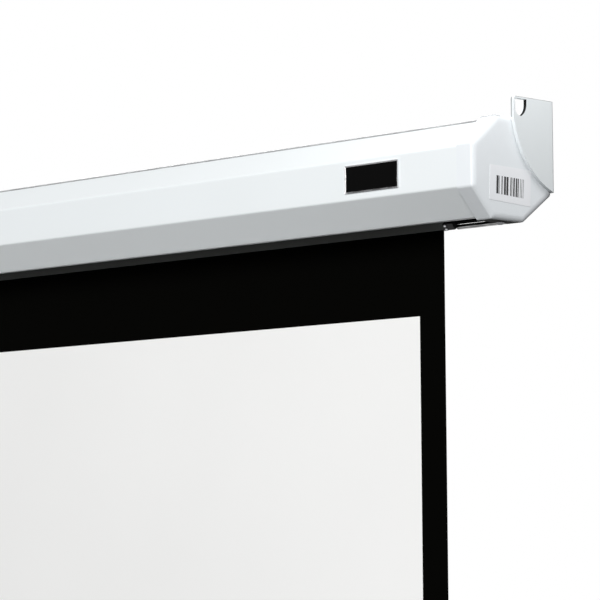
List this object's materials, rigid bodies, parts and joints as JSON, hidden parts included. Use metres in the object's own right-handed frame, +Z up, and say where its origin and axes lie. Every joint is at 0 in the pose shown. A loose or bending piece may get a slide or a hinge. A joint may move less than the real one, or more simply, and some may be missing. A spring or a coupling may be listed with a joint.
{
  "type": "pull down projector screen",
  "caption": "Wall-hung projection screen: a folded case with end caps holds a self-locking spring roller, from which a black-bordered white sheet with a weight bar and pull handle is drawn down.",
  "frame": {"origin": "on the wall plane that the rear flanges rest on, half way along the case, level with the top of the end caps", "axes": "+X to the right along the case as seen from the front, +Y to the wall, +Z up"},
  "size_m": [1.4476, 0.0945, 1.1913],
  "materials": {
    "case_enamel": "smooth white enamel, satin gloss",
    "plate_enamel": "white enamel on pressed plate",
    "cap_plastic": "smooth moulded white plastic",
    "zinc_steel": "bright zinc plated",
    "spring_steel": "oiled spring steel",
    "tube_steel": "drawn tube, dull",
    "nylon": "natural moulded nylon",
    "black_plastic": "black moulding",
    "screen_cloth": "matt white coated cloth with a black border and a black back",
    "roll_cloth": "black back of the coated cloth",
    "badge_black": "polished black",
    "bar_enamel": "white powder coat on extruded aluminium",
    "handle_plastic": "smooth moulded plastic"
  },
  "bodies": {
    "case": {"case_shell": "case_enamel", "right_end_cap": "cap_plastic", "left_end_cap": "cap_plastic", "right_mounting_plate": "plate_enamel", "left_mounting_plate": "plate_enamel", "right_end_plate": "zinc_steel", "left_end_plate": "zinc_steel", "right_cap_screw": "zinc_steel", "left_cap_screw": "zinc_steel", "right_flange_rivet_lower": "zinc_steel", "right_flange_rivet_upper": "zinc_steel", "left_flange_rivet_lower": "zinc_steel", "left_flange_rivet_upper": "zinc_steel", "badge_plate": "badge_black", "right_fabric_guide": "black_plastic", "left_fabric_guide": "black_plastic", "right_guide_screw_upper": "zinc_steel", "right_guide_screw_lower": "zinc_steel", "left_guide_screw_upper": "zinc_steel", "left_guide_screw_lower": "zinc_steel", "spindle": "zinc_steel", "ratchet_head": "zinc_steel", "spring_anchor": "nylon", "spindle_clip": "spring_steel", "bearing_bush": "nylon", "screen_fabric": "screen_cloth"},
    "roller": {"roller_tube": "tube_steel", "fabric_roll": "roll_cloth", "drive_plug": "nylon", "pawl_pin_a": "zinc_steel", "pawl_pin_b": "zinc_steel", "torsion_spring": "spring_steel", "spindle_bearing": "nylon", "idle_plug": "nylon", "gudgeon_pin": "zinc_steel"},
    "pawl_a": {"pawl_a": "spring_steel"},
    "pawl_b": {"pawl_b": "spring_steel"},
    "bar": {"weight_bar": "bar_enamel", "right_bar_cap": "black_plastic", "left_bar_cap": "black_plastic", "retaining_rod": "nylon", "handle_bracket": "handle_plastic", "bracket_screw_front": "zinc_steel", "bracket_screw_back": "zinc_steel", "handle_pin": "zinc_steel"},
    "handle": {"pull_handle": "handle_plastic"}
  },
  "joints": [
    {"name": "bar_slide", "type": "slide", "parent": "case", "child": "bar", "axis": [0, 0, 1], "range_m": [0, 1.00531], "deforming": ["screen_fabric"]},
    {"name": "roller_spin", "type": "hinge", "parent": "case", "child": "roller", "pos_m": [0, -0.0552, -0.041], "axis": [1, 0, 0], "range_deg": [0, 2880.01]},
    {"name": "pawl_a_swing", "type": "hinge", "parent": "roller", "child": "pawl_a", "pos_m": [-0.7032, -0.04218, -0.03007], "axis": [1, 0, 0], "range_deg": [-25, 13]},
    {"name": "pawl_b_swing", "type": "hinge", "parent": "roller", "child": "pawl_b", "pos_m": [-0.7032, -0.06822, -0.05193], "axis": [1, 0, 0], "range_deg": [-25, 13]},
    {"name": "handle_swing", "type": "hinge", "parent": "bar", "child": "handle", "pos_m": [0, -0.0349, -1.1248], "axis": [1, 0, 0], "range_deg": [-80, 80]}
  ],
  "couplings": [
    {"joint": "roller_spin", "follows": "bar_slide", "rad_per_m": 50}
  ]
}
